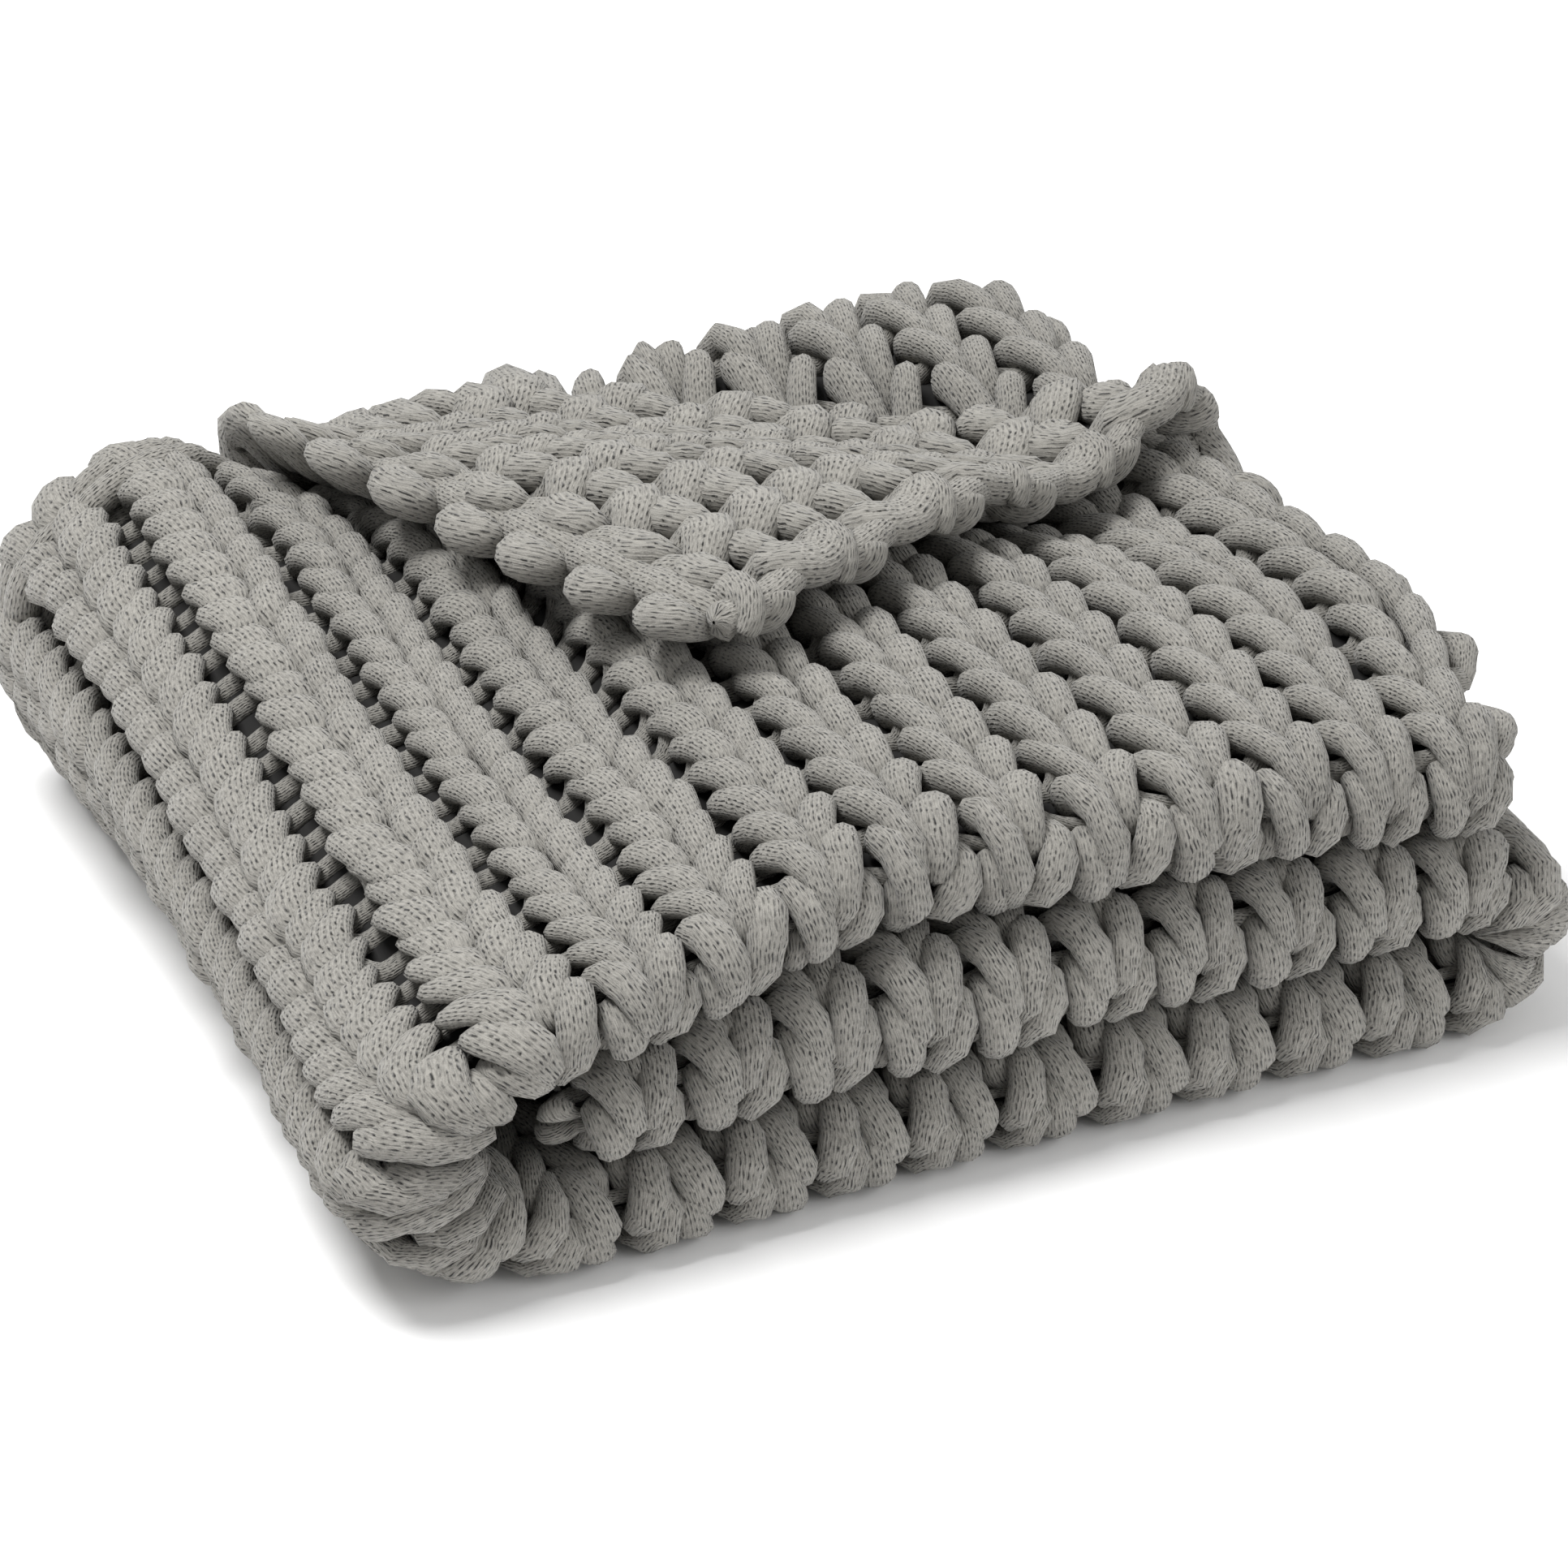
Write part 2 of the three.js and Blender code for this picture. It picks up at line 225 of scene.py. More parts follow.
# A point of the sheet: u along the strip, v from the front fold (outer leaf negative), w outward
def sheetPoint(u, v, w):
    u, v, w = (np.array(k, float) for k in np.broadcast_arrays(u, v, w))
    x, z, nx, nz, run = stripCentre(u)
    front = radius + half + setback(x, u)
    onTop = run == 0
    bent = np.abs(v) <= quarter
    a = np.clip(v, -quarter, quarter) / radius
    n = np.where(bent, -(radius + w) * np.sin(a), np.where(v < 0, radius + w, -radius - w))
    y = np.where(bent, front - (radius + w) * np.cos(a), front + np.abs(v) - quarter)
    past = y - tuckY(x)
    curled = onTop & (v > quarter) & (past > 0)
    a = np.clip(past / radius, 0, math.pi)
    n = np.where(curled, -(radius + w) * np.cos(a), n)
    curlY = tuckY(x) + (radius + w) * np.sin(a) - np.maximum(0, past - math.pi * radius)
    y = np.where(curled, curlY, y)
    shift = np.where(onTop, sideShift(x, y), 0)
    plain = settle(x + nx * n + shift, y, z + nz * n)
    tx, ty, th = turnCorner(x + shift, y, w)
    hy, hh = hangBehind(tx, ty, th)
    turned = settle(tx, hy, z + radius + hh)
    return np.where((onTop & (v < -quarter))[..., None], turned, plain)


# A value in a material, so that shader maths is written as plain expressions
class Val:
    def __init__(self, tree, socket):
        self.tree = tree
        self.socket = socket

    def math(self, kind, *others):
        node = self.tree.nodes.new("ShaderNodeMath")
        node.operation = kind
        for slot, value in zip(node.inputs, (self,) + others):
            feed(self.tree, slot, value)
        return Val(self.tree, node.outputs[0])

    def __add__(self, other):
        return self.math("ADD", other)

    def __radd__(self, other):
        return self.math("ADD", other)

    def __sub__(self, other):
        return self.math("SUBTRACT", other)

    def __rsub__(self, other):
        return self * -1 + other

    def __mul__(self, other):
        return self.math("MULTIPLY", other)

    def __rmul__(self, other):
        return self.math("MULTIPLY", other)

    def __truediv__(self, other):
        return self.math("DIVIDE", other)


def feed(tree, slot, value):
    if isinstance(value, Val):
        tree.links.new(value.socket, slot)
    else:
        slot.default_value = value


class Shade:
    def __init__(self, name):
        self.material = bpy.data.materials.new(name)
        self.material.use_nodes = True
        self.tree = self.material.node_tree
        self.base = self.tree.nodes["Principled BSDF"]

    # A node of any kind but maths: its settings, its sockets by name or number, its outputs' numbers
    def node(self, kind, settings, sockets, *outs):
        node = self.tree.nodes.new(kind)
        for key, value in settings.items():
            setattr(node, key, value)
        for key, value in sockets.items():
            feed(self.tree, node.inputs[key], value)
        made = [Val(self.tree, node.outputs[k]) for k in outs or (0,)]
        return made if len(made) > 1 else made[0]

    def set(self, **sockets):
        for key, value in sockets.items():
            feed(self.tree, self.base.inputs[key.replace("_", " ")], value)


# The cord: a fine tubular knit of soft grey with painted shade in the small gaps between its stitches,
# in lengths of metres along and around it
cordLook = dict(
    dark=(0.022, 0.021, 0.019, 1), light=(0.312, 0.3, 0.272, 1), rough=0.95, shine=0.2, sheen=0.2,
    sheenRough=0.6, across=0.0021, along=0.0034, stagger=3, wanderScale=230.0, wander=(0.9, 1.6),
    dashSharp=(34, 13), dashShare=(0.9, 0.3), ridgeSharp=9, streakScale=(260, 1500),
    fibreScale=1700.0, cloudScale=11.0, base=0.82, knit=0.95, streak=1.5, fibre=0.5, cloud=0.3,
    depth=0.0008, streakHeight=0.8, fibreHeight=0.3, ridgeHeight=0.12,
)


def noiseAt(m, place, scale, detail):
    return m.node("ShaderNodeTexNoise", {}, {"Vector": place, "Scale": scale, "Detail": detail})


def cordMaterial(s):
    m = Shade("knit_cord")
    uv = m.node("ShaderNodeUVMap", {"uv_map": "cord"}, {})
    along, around = m.node("ShaderNodeSeparateXYZ", {}, {0: uv}, 0, 1)
    place = m.node("ShaderNodeTexCoord", {}, {}, 3)
    wander = noiseAt(m, place, s["wanderScale"], 2.0) - 0.5
    # Columns of tiny stitches run along the cord, each column staggered against its neighbours
    column = around / s["across"] + wander * s["wander"][0]
    columnIndex = column.math("FLOOR")
    inColumn = column.math("FRACT") - 0.5
    slide = m.node("ShaderNodeTexWhiteNoise", {"noise_dimensions": "1D"}, {"W": columnIndex})
    stitch = along / s["along"] + slide * s["stagger"] + wander * s["wander"][1]
    inStitch = stitch.math("FRACT") - 0.5
    both = m.node("ShaderNodeCombineXYZ", {}, {0: columnIndex, 1: stitch.math("FLOOR")})
    chance = m.node("ShaderNodeTexWhiteNoise", {"noise_dimensions": "2D"}, {"Vector": both})
    offMiddle = inColumn * inColumn * -s["dashSharp"][0] + inStitch * inStitch * -s["dashSharp"][1]
    # The small gaps between these stitches sink in the bump and are painted darker: painted shade in the
    # gaps
    gapDepthAndShade = offMiddle.math("EXPONENT") * (chance * s["dashShare"][0] + s["dashShare"][1])
    ridge = (inColumn * inColumn * -s["ridgeSharp"]).math("EXPONENT")
    stretched = m.node("ShaderNodeCombineXYZ", {}, {0: along * s["streakScale"][0],
                                                    1: around * s["streakScale"][1]})
    streak = noiseAt(m, stretched, 1.0, 3.0)
    fibre = noiseAt(m, place, s["fibreScale"], 2.0)
    cloud = noiseAt(m, place, s["cloudScale"], 2.0)
    # Tone of the yarn: painted shade in the stitch gaps, with streaks, fibres and clouds of tone at
    # random
    tone = s["base"] - gapDepthAndShade * s["knit"] + (streak - 0.5) * s["streak"]
    tone = tone + (fibre - 0.5) * s["fibre"] + (cloud - 0.5) * s["cloud"]
    tone = tone.math("MINIMUM", 1.0).math("MAXIMUM", 0.0)
    colour = m.node("ShaderNodeMix", {"data_type": "RGBA"},
                    {"Factor": tone, 6: s["dark"], 7: s["light"]}, 2)
    height = streak * s["streakHeight"] + fibre * s["fibreHeight"] - gapDepthAndShade - ridge * s["ridgeHeight"]
    bump = m.node("ShaderNodeBump", {}, {"Height": height, "Distance": s["depth"], "Strength": 1.0})
    m.set(Base_Color=colour, Normal=bump, Roughness=s["rough"], Specular_IOR_Level=s["shine"],
          Sheen_Weight=s["sheen"], Sheen_Roughness=s["sheenRough"])
    return m.material


def plainMaterial(name, colour, rough):
    m = Shade(name)
    m.set(Base_Color=colour, Roughness=rough)
    return m.material


cordShade = cordMaterial(cordLook)
print("materials")


def makeMesh(name, points, quads, uvs, material):
    mesh = bpy.data.meshes.new(name)
    mesh.vertices.add(len(points))
    mesh.vertices.foreach_set("co", np.asarray(points, np.float32).ravel())
    mesh.loops.add(quads.size)
    mesh.loops.foreach_set("vertex_index", quads.astype(np.int32).ravel())
    mesh.polygons.add(len(quads))
    mesh.polygons.foreach_set("loop_start", np.arange(0, quads.size, 4, dtype=np.int32))
    mesh.update(calc_edges=True)
    mesh.polygons.foreach_set("use_smooth", np.ones(len(quads), bool))
    if uvs is not None:
        layer = mesh.uv_layers.new(name="cord")
        layer.data.foreach_set("uv", np.asarray(uvs, np.float32).ravel())
    mesh.materials.append(material)
    obj = bpy.data.objects.new(name, mesh)
    bpy.context.collection.objects.link(obj)
    return obj


# Half a stocking stitch, mirrored for the other half: share of the wale along it, of the loop
# height up, of the loop depth out, and the cord's width. Ropes lie close, veed legs lean apart,
# and the turned-over corner shows the round heads and feet of the loops.
ropeStitch = dict(
    along=(0.0, 0.2, 0.32, 0.362, 0.325, 0.265, 0.26, 0.35, 0.5),
    up=(-1.0, -0.98, -0.86, -0.6, -0.05, 0.46, 0.8, 0.98, 1.02),
    out=(-1.25, -1.1, -0.1, 0.95, 1.05, 0.58, -0.25, -1.1, -1.25),
    wide=(0.6, 0.62, 0.76, 0.88, 0.95, 0.94, 0.88, 0.7, 0.62),
)
veeStitch = dict(
    along=(0.0, 0.24, 0.385, 0.405, 0.31, 0.19, 0.17, 0.28, 0.5),
    up=(-0.98, -0.96, -0.82, -0.5, 0.05, 0.5, 0.8, 0.98, 1.02),
    out=(-1.2, -0.9, 0.0, 0.95, 1.15, 0.75, -0.15, -1.0, -1.2),
    wide=(0.74, 0.72, 0.68, 0.75, 0.93, 0.92, 0.84, 0.76, 0.74),
)
flapStitch = dict(
    along=(0.0, 0.13, 0.25, 0.31, 0.3, 0.26, 0.26, 0.36, 0.5),
    up=(-1.1, -0.98, -0.66, -0.3, 0.1, 0.4, 0.7, 0.98, 1.1),
    out=(-1.5, -1.2, -0.2, 0.9, 1.1, 0.8, -0.2, -1.2, -1.5),
    wide=(1.3, 1.24, 1.0, 0.76, 0.7, 0.76, 1.0, 1.24, 1.3),
)
knit = dict(wales=36, outerRows=26, innerRows=15, bundles=6, height=(0.5, 11.8), depth=7.4,
            across=9.4, through=7.6, slant=(3.5, 2.5), seed=7)
waleWidth = stripLength / knit["wales"]


def stitchCurve(stitch, t):
    x = np.array(stitch["along"] + tuple(1 - a for a in stitch["along"][-2:0:-1]) + (1.0,))
    keys = {"along": x}
    for k in ("up", "out", "wide"):
        keys[k] = np.array(stitch[k] + stitch[k][-2:0:-1] + (stitch[k][0],))
    n = len(x) - 1
    i = np.minimum((t * n).astype(int), n - 1)
    f = t * n - i
    out = {}
    for k, p in keys.items():
        step = 1.0 if k == "along" else 0.0
        pad = np.concatenate([[p[-2] - step], p, [p[1] + step]])
        a, b, c, d = (pad[i + j] for j in range(4))
        out[k] = 0.5 * (2 * b + (c - a) * f + (2 * a - 5 * b + 4 * c - d) * f ** 2
                        + (3 * b - a - 3 * c + d) * f ** 3)
    return out


# Where a row of stitches lies: rows count from the front fold, outer leaf negative. Toward the
# free end the rows stand further apart and slip round the front fold.
spacing = dict(slip=5, slipX=(120, 480), loose=0.16, looseX=(60, 300), closeX=(380, 500), inner=-0.25)


def rowPlace(row, u):
    outer, inner = leafReach(u)
    x, _, _, _, run = stripCentre(u)
    turn = np.where(run == 0, -spacing["slip"] * ease(*spacing["slipX"], x), 0.0)
    back = row < turn
    share = np.where(back, (turn - row) / (knit["outerRows"] + turn),
                     (row - turn) / (knit["innerRows"] - turn))
    outerLoose = spacing["loose"] * ease(*spacing["looseX"], x) * (1 - ease(*spacing["closeX"], x))
    share = share * (1 + np.where(back, outerLoose, spacing["inner"]) * (1 - share))
    return np.where(back, -outer * share, inner * share)


rng = np.random.default_rng(knit["seed"])
allRows = knit["outerRows"] + knit["innerRows"]
jitter = rng.normal(0, 1, (5, allRows + 1, knit["wales"] * 2 + 3))

# How a cord closes at its ends, turns level again, and keeps off the floor and the fold's middle
tubes = dict(tip=3, tipWidth=0.1, level=0.2, floor=0.3, deepest=0.93, deeper=0.5, deeperFrom=(1.2, 2.5))


# A tube round a line given in sheet coordinates, with its section lying flat in the sheet
def tubeOnSheet(u, v, w, wide, thin, sides):
    line = np.stack([u, v, w], -1)
    for end, inner in ((0, 1), (-1, -2)):
        way = line[end] - line[inner]
        tip = line[end] + way / np.linalg.norm(way) * tubes["tip"]
        line = np.insert(line, 0 if end == 0 else len(line), tip, axis=0)
    wide, thin = (np.concatenate([[k[0] * tubes["tipWidth"]], k, [k[-1] * tubes["tipWidth"]]])
                  for k in (wide, thin))
    tangent = np.gradient(line, axis=0)
    tangent /= np.maximum(1e-6, np.linalg.norm(tangent, axis=1))[:, None]
    flat = np.cross(tangent, [0, 0, 1.0])
    side = flat.copy()
    for i in range(1, len(line)):
        carried = side[i - 1] - tangent[i] * np.dot(side[i - 1], tangent[i]) + tubes["level"] * flat[i]
        side[i] = carried / max(1e-6, math.sqrt(np.dot(carried, carried)))
    side[0] = side[1]
    up = np.cross(side, tangent)
    a = np.arange(sides) / sides * 2 * math.pi
    ring = (line[:, None] + (wide[:, None] * np.cos(a))[..., None] * side[:, None]
            + (thin[:, None] * np.sin(a))[..., None] * up[:, None])
    pastFold = ease(*tubes["deeperFrom"], np.abs(ring[..., 1]) / quarter)
    deepest = -radius * (tubes["deepest"] + tubes["deeper"] * pastFold)
    ring[..., 2] = np.maximum(ring[..., 2], deepest)
    points = sheetPoint(ring[..., 0], ring[..., 1], ring[..., 2])
    points[..., 2] = np.maximum(points[..., 2], tubes["floor"])
    centre = points.mean(1)
    run = np.concatenate([[0], np.cumsum(np.linalg.norm(np.diff(centre, axis=0), axis=1))])
    return points, run


def tubeQuads(n, sides, base):
    i = np.arange(n - 1)[:, None] * sides
    j = np.arange(sides)[None]
    k = (j + 1) % sides
    return (np.stack([i + j, i + k, i + sides + k, i + sides + j], -1) + base).reshape(-1, 4)


def tubeUvs(run, n, sides):
    i = np.arange(n - 1)[:, None]
    j = np.arange(sides)[None]
    step = 2 * math.pi * knit["across"] / sides
    x0, x1 = run[i] + 0 * j, run[i + 1] + 0 * j
    y0, y1 = j * step + 0 * i, (j + 1) * step + 0 * i
    corners = [np.stack(c, -1) for c in ((x0, y0), (x0, y1), (x1, y1), (x1, y0))]
    return np.stack(corners, 2).reshape(-1, 2)


# Cords that make one piece
class Bundle:
    def __init__(self, name):
        self.name = name
        self.points = []
        self.quads = []
        self.uvs = []
        self.count = 0

    def tube(self, points, run):
        n, sides = points.shape[:2]
        self.points.append(points.reshape(-1, 3) / 1000)
        self.quads.append(tubeQuads(n, sides, self.count))
        self.uvs.append(tubeUvs(run, n, sides) / 1000)
        self.count += n * sides

    def make(self):
        obj = makeMesh(self.name, np.concatenate(self.points), np.concatenate(self.quads),
                       np.concatenate(self.uvs), cordShade)
        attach(obj, "root")
        print(self.name, 2 * sum(len(q) for q in self.quads), "triangles")
        return obj


# How far past the crease a place on the sheet lies; only the outer leaf of the top band gets there
def pastCrease(u, v):
    x, _, _, _, run = stripCentre(u)
    y = radius + half + setback(x, u) + np.abs(v) - quarter
    d = (x - crease["x"]) * outX + (y - crease["y"]) * outY
    return np.where((run == 0) & (v < -quarter), d, -1e3)


# Shares of the three stitch forms: legs lean apart at the front fold and a little to the right
forms = dict(frontV=(30, 95), right=0.36, rightX=(230, 420), inside=0.8, turned=0.7, turnedV=300,
             flap=(5, 45))


def formShares(u, v):
    x, _, _, _, run = stripCentre(u)
    front = 1 - ease(*forms["frontV"], np.abs(v))
    right = np.where(run == 0, forms["right"] * ease(*forms["rightX"], x),
                     np.where(run == 1, 0.0, forms["inside"]))
    turned = np.where((run == 0) & (v > forms["turnedV"]), forms["turned"], 0.0)
    flap = ease(*forms["flap"], pastCrease(u, v))
    vee = np.maximum(np.maximum(front, right), turned) * (1 - flap)
    return 1 - vee - flap, vee, flap


def loopHeight(row, u):
    pitch = np.abs(rowPlace(row + 0.5, u) - rowPlace(row - 0.5, u))
    return knit["height"][0] * pitch + knit["height"][1]


# Steps along a wale and sides of the cord: fine where the stitches are seen, coarse in the stack
detail = dict(frontV=75, front=26, seenV=440, seen=30, hidden=14,
              outerSides=10, hiddenSides=8, marginSides=12, hiddenRow=3, marginRow=10)


def waleSteps(row, wale):
    u = (np.array([wale]) + 0.5) * waleWidth
    v = rowPlace(np.array([row]), u)[0]
    run = stripCentre(u)[4][0]
    if abs(v) < detail["frontV"]:
        return detail["front"]
    if (run < 2 and v < 0) or (run == 0 and v > detail["seenV"]):
        return detail["seen"]
    return detail["hidden"]


def rowSides(row):
    if row < detail["hiddenRow"]:
        return detail["outerSides"]
    return detail["marginSides"] if row > detail["marginRow"] else detail["hiddenSides"]


# Toward the free end of the top band the stitches lie fuller, and its selvedge bulges to the right
freeEnd = dict(plump=0.08, plumpX=(200, 420), bulge=11, bulgeU=70, startV=(35, 105), endV=(160, 300))
# How unevenly the stitches lie: shares of their size, and millimetres for the rest
uneven = dict(height=0.05, up=1.5, along=1.5, sway=3.5, swayLong=(110, 170), depth=0.12, out=0.5,
              size=0.06)


def plumpShare(u, v):
    x, _, _, _, run = stripCentre(u)
    return np.where((run == 0) & (v < 0), ease(*freeEnd["plumpX"], x), 0.0)


def edgeBulge(u, v):
    share = ease(*freeEnd["startV"], -v) * (1 - ease(*freeEnd["endV"], -v))
    return freeEnd["bulge"] * (1 - ease(0, freeEnd["bulgeU"], u)) * np.where(v < 0, share, 0.0)


# The line of one row of stitches with the cord's two half widths along it
def knitRow(index, row):
    steps = [waleSteps(row, wale) for wale in range(knit["wales"])]
    t = np.concatenate([np.arange(n) / n + wale for wale, n in enumerate(steps)] + [[knit["wales"]]])
    wale = np.minimum(np.floor(t), knit["wales"] - 1)
    at = t * waleWidth
    rows = np.full_like(t, row)
    shares = formShares(at, rowPlace(rows, at))
    curves = [stitchCurve(f, t - wale) for f in (ropeStitch, veeStitch, flapStitch)]
    along, up, out, wide = (sum(a * c[key] for a, c in zip(shares, curves))
                            for key in ("along", "up", "out", "wide"))
    u = (wale + along) * waleWidth
    place = rowPlace(rows, np.clip(u, 0, stripLength))
    noise = [np.interp(t * 2, np.arange(jitter.shape[2]), jitter[c, index]) for c in range(5)]
    v = place - up * loopHeight(rows, at) * (1 + uneven["height"] * noise[0]) + uneven["up"] * noise[1]
    phase = v / uneven["swayLong"][0] + u / uneven["swayLong"][1]
    u = u + uneven["along"] * noise[2] + uneven["sway"] * np.sin(phase) - edgeBulge(at, place)
    w = out * knit["depth"] * (1 + uneven["depth"] * noise[3]) + uneven["out"] * noise[1]
    slant = shares[2] * np.sin(t * 4 * math.pi)
    v = v + knit["slant"][0] * slant
    w = w + knit["slant"][1] * slant
    size = 1 + uneven["size"] * noise[4] + freeEnd["plump"] * plumpShare(at, place)
    return [u, v, w, wide * knit["across"] * size, wide * knit["through"] * size]


# Joins the end of one row to the next, out round the selvedge and a little way into that row
turnBack = dict(steps=9, freeOut=5, innerOut=8, rise=4, wide=0.95, tuck=4, tuckWidth=0.93)


def joinRows(a, b, side, out):
    last = [k[0] if side < 0 else k[-1] for k in a]
    tuck = [k[:turnBack["tuck"]] if side < 0 else k[-turnBack["tuck"]:][::-1] for k in b]
    t = np.arange(1, turnBack["steps"] + 1) / (turnBack["steps"] + 1)
    bow = np.sin(math.pi * t)
    mid = [p + (q[0] - p) * t for p, q in zip(last, tuck)]
    mid[0] = mid[0] + side * out * bow
    mid[2] = mid[2] + turnBack["rise"] * bow
    mid[3] = np.maximum(mid[3], turnBack["wide"] * knit["across"] * bow)
    mid[4] = np.maximum(mid[4], turnBack["wide"] * knit["through"] * bow)
    tail = [np.concatenate([m, q]) for m, q in zip(mid, tuck)]
    for width in tail[3:]:
        width[-turnBack["tuck"]:] *= turnBack["tuckWidth"]
    if side < 0:
        return [np.concatenate([k[::-1], p]) for k, p in zip(tail, a)]
    return [np.concatenate([p, k]) for p, k in zip(a, tail)]


def makeKnit():
    made = []
    rows = np.arange(-knit["outerRows"] + 0.5, knit["innerRows"], 1.0)
    lines = [knitRow(i, row) for i, row in enumerate(rows)]
    for i in range(len(rows) - 1):
        side, out = (-1, turnBack["freeOut"]) if i % 2 == 0 else (1, turnBack["innerOut"])
        lines[i] = joinRows(lines[i], lines[i + 1], side, out)
    for g, members in enumerate(np.array_split(np.arange(len(rows)), knit["bundles"])):
        bundle = Bundle(f"rows_{g}")
        for i in members:
            bundle.tube(*tubeOnSheet(*lines[i], rowSides(rows[i])))
        made.append(bundle.make())
    return made


# The bound-off edge: a chain of long loops, each drawn through the one before
chainLoop = dict(
    along=(0.0, 0.25, 0.6, 0.95, 1.25, 1.42, 1.3, 1.0, 0.65, 0.3, 0.0),
    across=(0.0, 0.5, 0.95, 1.0, 0.75, 0.0, -0.75, -1.0, -0.95, -0.5, 0.0),
    out=(-0.9, 0.1, 0.9, 1.0, 0.2, -0.9, 0.2, 1.0, 0.9, 0.1, -0.9),
)
chain = dict(spread=7, lift=5, beyond=-11, wrapIn=8, wrapEase=60, back=0.1, past=4, flap=(0, 30),
             flapDown=3, raised=9, raisedX=(60, 110), across=9.2, through=8.6, steps=30, sides=10,
             unevenSpread=0.08, unevenPlace=1.2, unevenSize=0.05)


def smoothLoop(k):
    pad = np.concatenate([[k[-2]], k, [k[1]]])
    return (pad[:-2] + 2 * pad[1:-1] + pad[2:]) / 4


def makeChain(s):
    bundle = Bundle("bound_edge")
    keys = np.linspace(0, 1, len(chainLoop["along"]))
    dense = np.linspace(0, 1, s["steps"] + 1)
    along, across, out = (smoothLoop(np.interp(dense, keys, chainLoop[k]))
                          for k in ("along", "across", "out"))
    halfway = stripLength / 2
    for wale in range(knit["wales"]):
        u = np.clip((wale + along - s["back"]) * waleWidth, -s["past"], stripLength + s["past"])
        within = np.clip(u, 0, stripLength)
        onWrap = ease(starts[1] - s["wrapEase"], starts[1], u)
        onWrap = onWrap * (1 - ease(starts[2], starts[2] + s["wrapEase"], u))
        edge = leafReach(within)[0] + s["beyond"] - s["wrapIn"] * onWrap
        spread = s["spread"] * (1 + s["unevenSpread"] * jitter[0, 0, wale])
        v = -edge + across * spread + s["unevenPlace"] * jitter[1, 0, wale]
        flap = ease(*s["flap"], pastCrease(u, -edge))
        w = out * s["lift"] * (1 - 2 * flap) - s["flapDown"] * flap
        onTop = ease(*s["raisedX"], stripCentre(within)[0]) * (1 - ease(halfway, halfway + 1, u))
        w = w + s["raised"] * (1 - flap) * onTop
        size = np.full_like(u, 1 + s["unevenSize"] * jitter[2, 0, wale])
        bundle.tube(*tubeOnSheet(u, v, w, s["across"] * size, s["through"] * size, s["sides"]))
    return bundle.make()


# The selvedge of the turned-over corner: a cord along it, wrapped at every other row
selvedge = dict(firstRow=11.6, rowStep=0.1, steps=150, out=4, sway=2.5, level=-7, dip=1.5,
                across=8.6, through=8.2, sides=12)
wraps = dict(beforeEnd=0.6, every=2, turn=(-0.32, 0.82), middle=0.25, steps=30, wide=10.5, lead=18,
             unevenPlace=2, level=-5, high=8.5, across=9.6, through=7.2, sides=12)


def selvedgeRow(row):
    return rowPlace(np.array([-row]), np.array([1.0]))[0]


def makeSelvedge(s, o):
    bundle = Bundle("turned_selvedge")
    rows = np.arange(s["firstRow"], knit["outerRows"] + s["rowStep"], s["rowStep"])
    places = np.array([selvedgeRow(row) for row in rows])
    t = np.linspace(0, 1, s["steps"])
    v = np.interp(t, np.linspace(0, 1, len(places)), places)
    phase = t * (knit["outerRows"] - s["firstRow"]) * math.pi
    u = -s["out"] + s["sway"] * np.sin(phase)
    w = s["level"] + s["dip"] * np.cos(phase)
    size = np.ones_like(t)
    bundle.tube(*tubeOnSheet(u, v, w, s["across"] * size, s["through"] * size, s["sides"]))
    share = np.linspace(*o["turn"], o["steps"])
    size = np.ones_like(share)
    for i, row in enumerate(np.arange(knit["outerRows"] - o["beforeEnd"], s["firstRow"], -o["every"])):
        u = o["wide"] * np.sin(share * 2 * math.pi)
        v = selvedgeRow(row) + o["lead"] * (share - o["middle"]) + o["unevenPlace"] * jitter[3, 1, i]
        w = o["level"] - o["high"] * np.cos(share * 2 * math.pi)
        bundle.tube(*tubeOnSheet(u, v, w, o["across"] * size, o["through"] * size, o["sides"]))
    return bundle.make()


knitted = makeKnit() + [makeChain(chain), makeSelvedge(selvedge, wraps)]

# A near-black sheet through the knitting, under the cords: painted shade that darkens the gaps between
# the stitches
shadeSheet = dict(columns=160, rows=110, out=-9.5, flapOut=-1, flap=(-30, 10),
            colour=(0.014, 0.0135, 0.013, 1), rough=1.0)


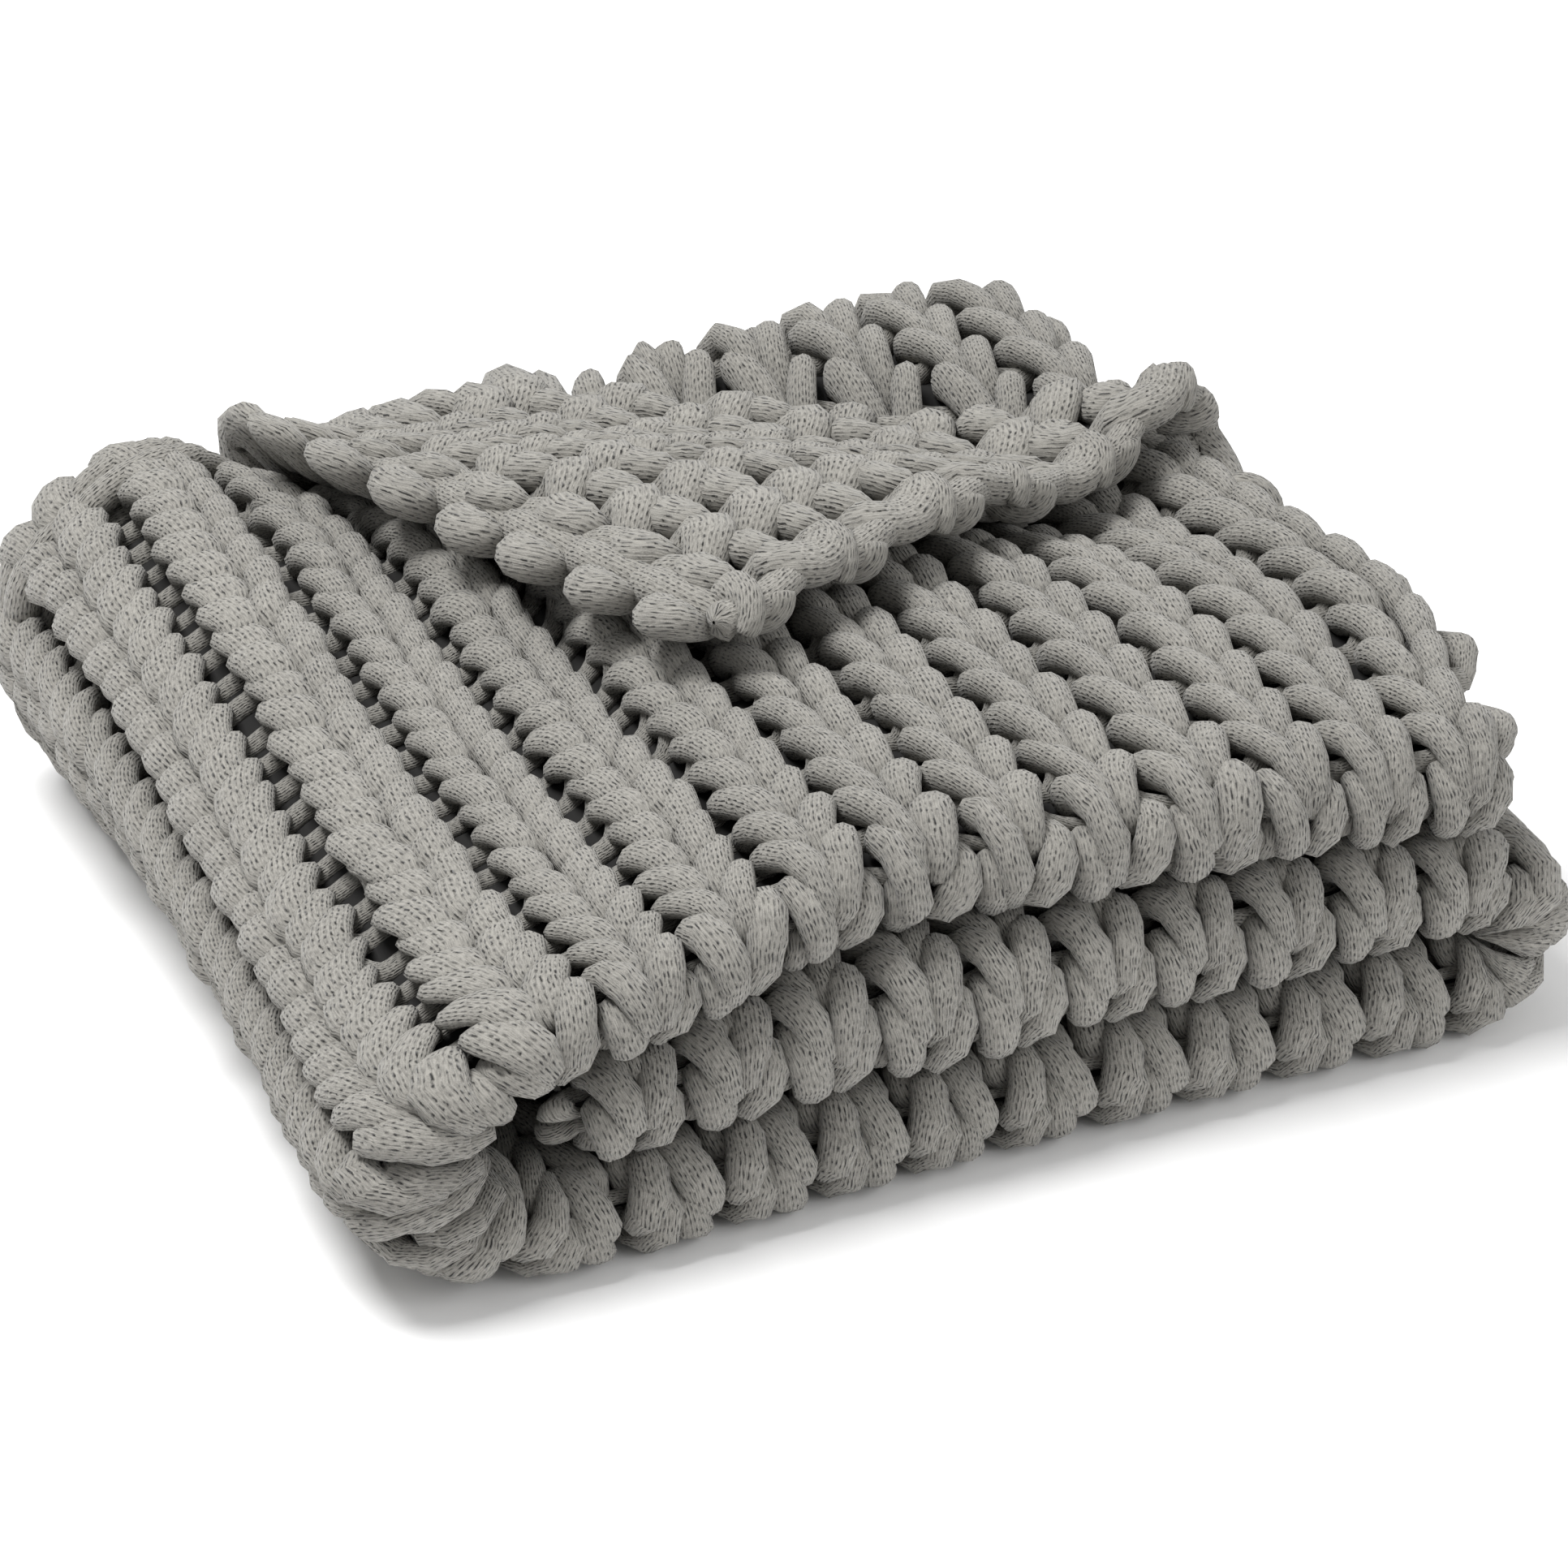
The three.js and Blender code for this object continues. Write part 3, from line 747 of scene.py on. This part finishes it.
def makeShadeSheet(s):
    u = np.linspace(0, stripLength, s["columns"])
    outer, inner = leafReach(u)
    t = np.linspace(-1, 1, s["rows"])[:, None]
    v = np.where(t < 0, t * outer, t * inner)
    along = u[None] + 0 * t
    flap = ease(*s["flap"], pastCrease(along, v))
    points = sheetPoint(along, v, s["out"] + (s["flapOut"] - s["out"]) * flap)
    i = np.arange(s["rows"] - 1)[:, None] * s["columns"]
    j = np.arange(s["columns"] - 1)[None]
    n = s["columns"]
    quads = np.stack([i + j, i + j + 1, i + n + j + 1, i + n + j], -1).reshape(-1, 4)
    # near-black colour: painted shade seen through the gaps between the cords
    material = plainMaterial("gap_shade", s["colour"], s["rough"])
    obj = makeMesh("gap_shade_sheet", points.reshape(-1, 3) / 1000, quads, None, material)
    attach(obj, "root")
    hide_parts("throw")
    return obj


sheet = makeShadeSheet(shadeSheet)
print("sheet")

# Floor and light
stageLook = dict(floor=(0.93, 0.93, 0.93, 1), rough=0.9, size=12, drop=0.0005,
                 world=(1, 1, 1, 1), strength=0.44, lampAim=(0, 0, 0.1))
lamps = (
    dict(name="key", place=(-1.0, 0.2, 2.5), size=1.1, power=78),
    dict(name="fill", place=(1.2, -2.1, 1.3), size=1.8, power=28),
    dict(name="rim", place=(0.3, 2.0, 1.9), size=1.6, power=14),
)


def makeStage(s):
    bpy.ops.mesh.primitive_plane_add(size=s["size"], location=(0, 0, -s["drop"]))
    floor = bpy.context.object
    floor.name = "floor"
    floor.data.materials.append(plainMaterial("floor", s["floor"], s["rough"]))
    world = bpy.data.worlds.new("studio")
    world.use_nodes = True
    world.node_tree.nodes["Background"].inputs[0].default_value = s["world"]
    world.node_tree.nodes["Background"].inputs[1].default_value = s["strength"]
    bpy.context.scene.world = world


def makeLamp(s):
    data = bpy.data.lights.new(s["name"], "AREA")
    data.size = s["size"]
    data.energy = s["power"]
    obj = bpy.data.objects.new(s["name"], data)
    obj.location = s["place"]
    aim = np.array(stageLook["lampAim"]) - np.array(s["place"])
    obj.rotation_euler = (math.atan2(math.hypot(aim[0], aim[1]), -aim[2]), 0,
                          math.atan2(aim[1], aim[0]) - math.pi / 2)
    bpy.context.collection.objects.link(obj)


makeStage(stageLook)
for lamp in lamps:
    makeLamp(lamp)
bpy.context.scene.view_settings.view_transform = "Standard"
print("stage")
